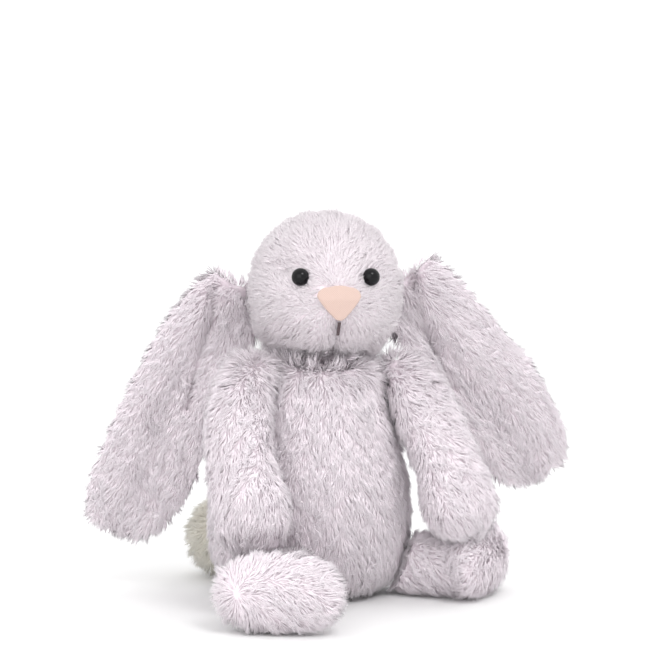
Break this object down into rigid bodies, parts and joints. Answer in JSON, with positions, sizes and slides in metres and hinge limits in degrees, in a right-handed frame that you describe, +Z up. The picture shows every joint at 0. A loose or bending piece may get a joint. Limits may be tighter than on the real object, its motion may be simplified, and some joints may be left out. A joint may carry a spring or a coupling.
{
  "type": "stuffed bunny rabbit",
  "caption": "Floppy-eared plush rabbit sitting with splayed legs: sewn skins over stuffing and bean pouches, with a head, ears, arms and legs that move.",
  "frame": {"origin": "centre of the flat seat that the torso sits on, at floor level", "axes": "+Z up, -Y the way the torso faces, +X the rabbit's left side"},
  "size_m": [0.2424, 0.1875, 0.2075],
  "materials": {
    "plush": "soft lilac long-pile plush",
    "short_plush": "paler short-pile plush",
    "tail_plush": "cream-white long-pile plush",
    "fibre": "loose white polyester fibre",
    "pouch_cloth": "plain woven inner bag",
    "eye": "polished black",
    "washer": "moulded white",
    "nose": "fine woven peach cloth",
    "thread": "dark embroidery thread"
  },
  "bodies": {
    "torso": {"torso_front_skin": "plush", "torso_back_skin": "plush", "torso_stuffing": "fibre", "seat_bean_pouch": "pouch_cloth", "tail_skin": "tail_plush", "tail_stuffing": "fibre"},
    "neck": {"neck_stuffing": "fibre"},
    "head": {"head_top_gusset": "plush", "chin_panel": "plush", "head_side_right": "plush", "head_side_left": "plush", "head_stuffing": "fibre", "nose_patch": "nose", "mouth_stitch": "thread", "eye_right": "eye", "eye_left": "eye", "eye_washer_right": "washer", "eye_washer_left": "washer"},
    "ear_right": {"ear_front_panel_right": "short_plush", "ear_back_panel_right": "plush"},
    "ear_left": {"ear_front_panel_left": "short_plush", "ear_back_panel_left": "plush"},
    "arm_right": {"arm_skin_right": "plush", "arm_stuffing_right": "fibre", "paw_bean_pouch_right": "pouch_cloth"},
    "arm_left": {"arm_skin_left": "plush", "arm_stuffing_left": "fibre", "paw_bean_pouch_left": "pouch_cloth"},
    "leg_right": {"leg_skin_right": "plush", "leg_stuffing_right": "fibre", "foot_upper_right": "plush", "foot_sole_right": "short_plush", "foot_bean_pouch_right": "pouch_cloth", "foot_stuffing_right": "fibre"},
    "leg_left": {"leg_skin_left": "plush", "leg_stuffing_left": "fibre", "foot_upper_left": "plush", "foot_sole_left": "short_plush", "foot_bean_pouch_left": "pouch_cloth", "foot_stuffing_left": "fibre"}
  },
  "joints": [
    {"name": "neck_turn", "type": "hinge", "parent": "torso", "child": "neck", "pos_m": [0, -0.009, 0.125], "axis": [0, 0, 1], "range_deg": [-3, 20], "stiffness_Nm_per_rad": 0.6},
    {"name": "neck_nod", "type": "hinge", "parent": "neck", "child": "head", "pos_m": [0, -0.009, 0.125], "axis": [0.8788, -0.4772, 0], "range_deg": [-6, 8], "stiffness_Nm_per_rad": 0.8},
    {"name": "ear_right_lift", "type": "hinge", "parent": "head", "child": "ear_right", "pos_m": [-0.02887, 0.01875, 0.1625], "axis": [0.4772, 0.8788, 0], "range_deg": [0, 60], "stiffness_Nm_per_rad": 0.05},
    {"name": "ear_left_lift", "type": "hinge", "parent": "head", "child": "ear_left", "pos_m": [0.03897, -0.02606, 0.1675], "axis": [-0.4772, -0.8788, 0], "range_deg": [0, 60], "stiffness_Nm_per_rad": 0.05},
    {"name": "arm_right_swing", "type": "hinge", "parent": "torso", "child": "arm_right", "pos_m": [-0.029, -0.005, 0.126], "axis": [-0.866, 0.5, 0], "range_deg": [0, 36]},
    {"name": "arm_left_swing", "type": "hinge", "parent": "torso", "child": "arm_left", "pos_m": [0.0295, -0.018, 0.124], "axis": [-0.9848, 0.1736, 0], "range_deg": [0, 36]},
    {"name": "leg_right_swing", "type": "hinge", "parent": "torso", "child": "leg_right", "pos_m": [-0.03, -0.03, 0.0175], "axis": [-0.6947, 0.7193, 0], "range_deg": [-70, 0]},
    {"name": "leg_left_swing", "type": "hinge", "parent": "torso", "child": "leg_left", "pos_m": [0.027, -0.014, 0.0175], "axis": [-0.8746, -0.4848, 0], "range_deg": [-70, 0]}
  ]
}
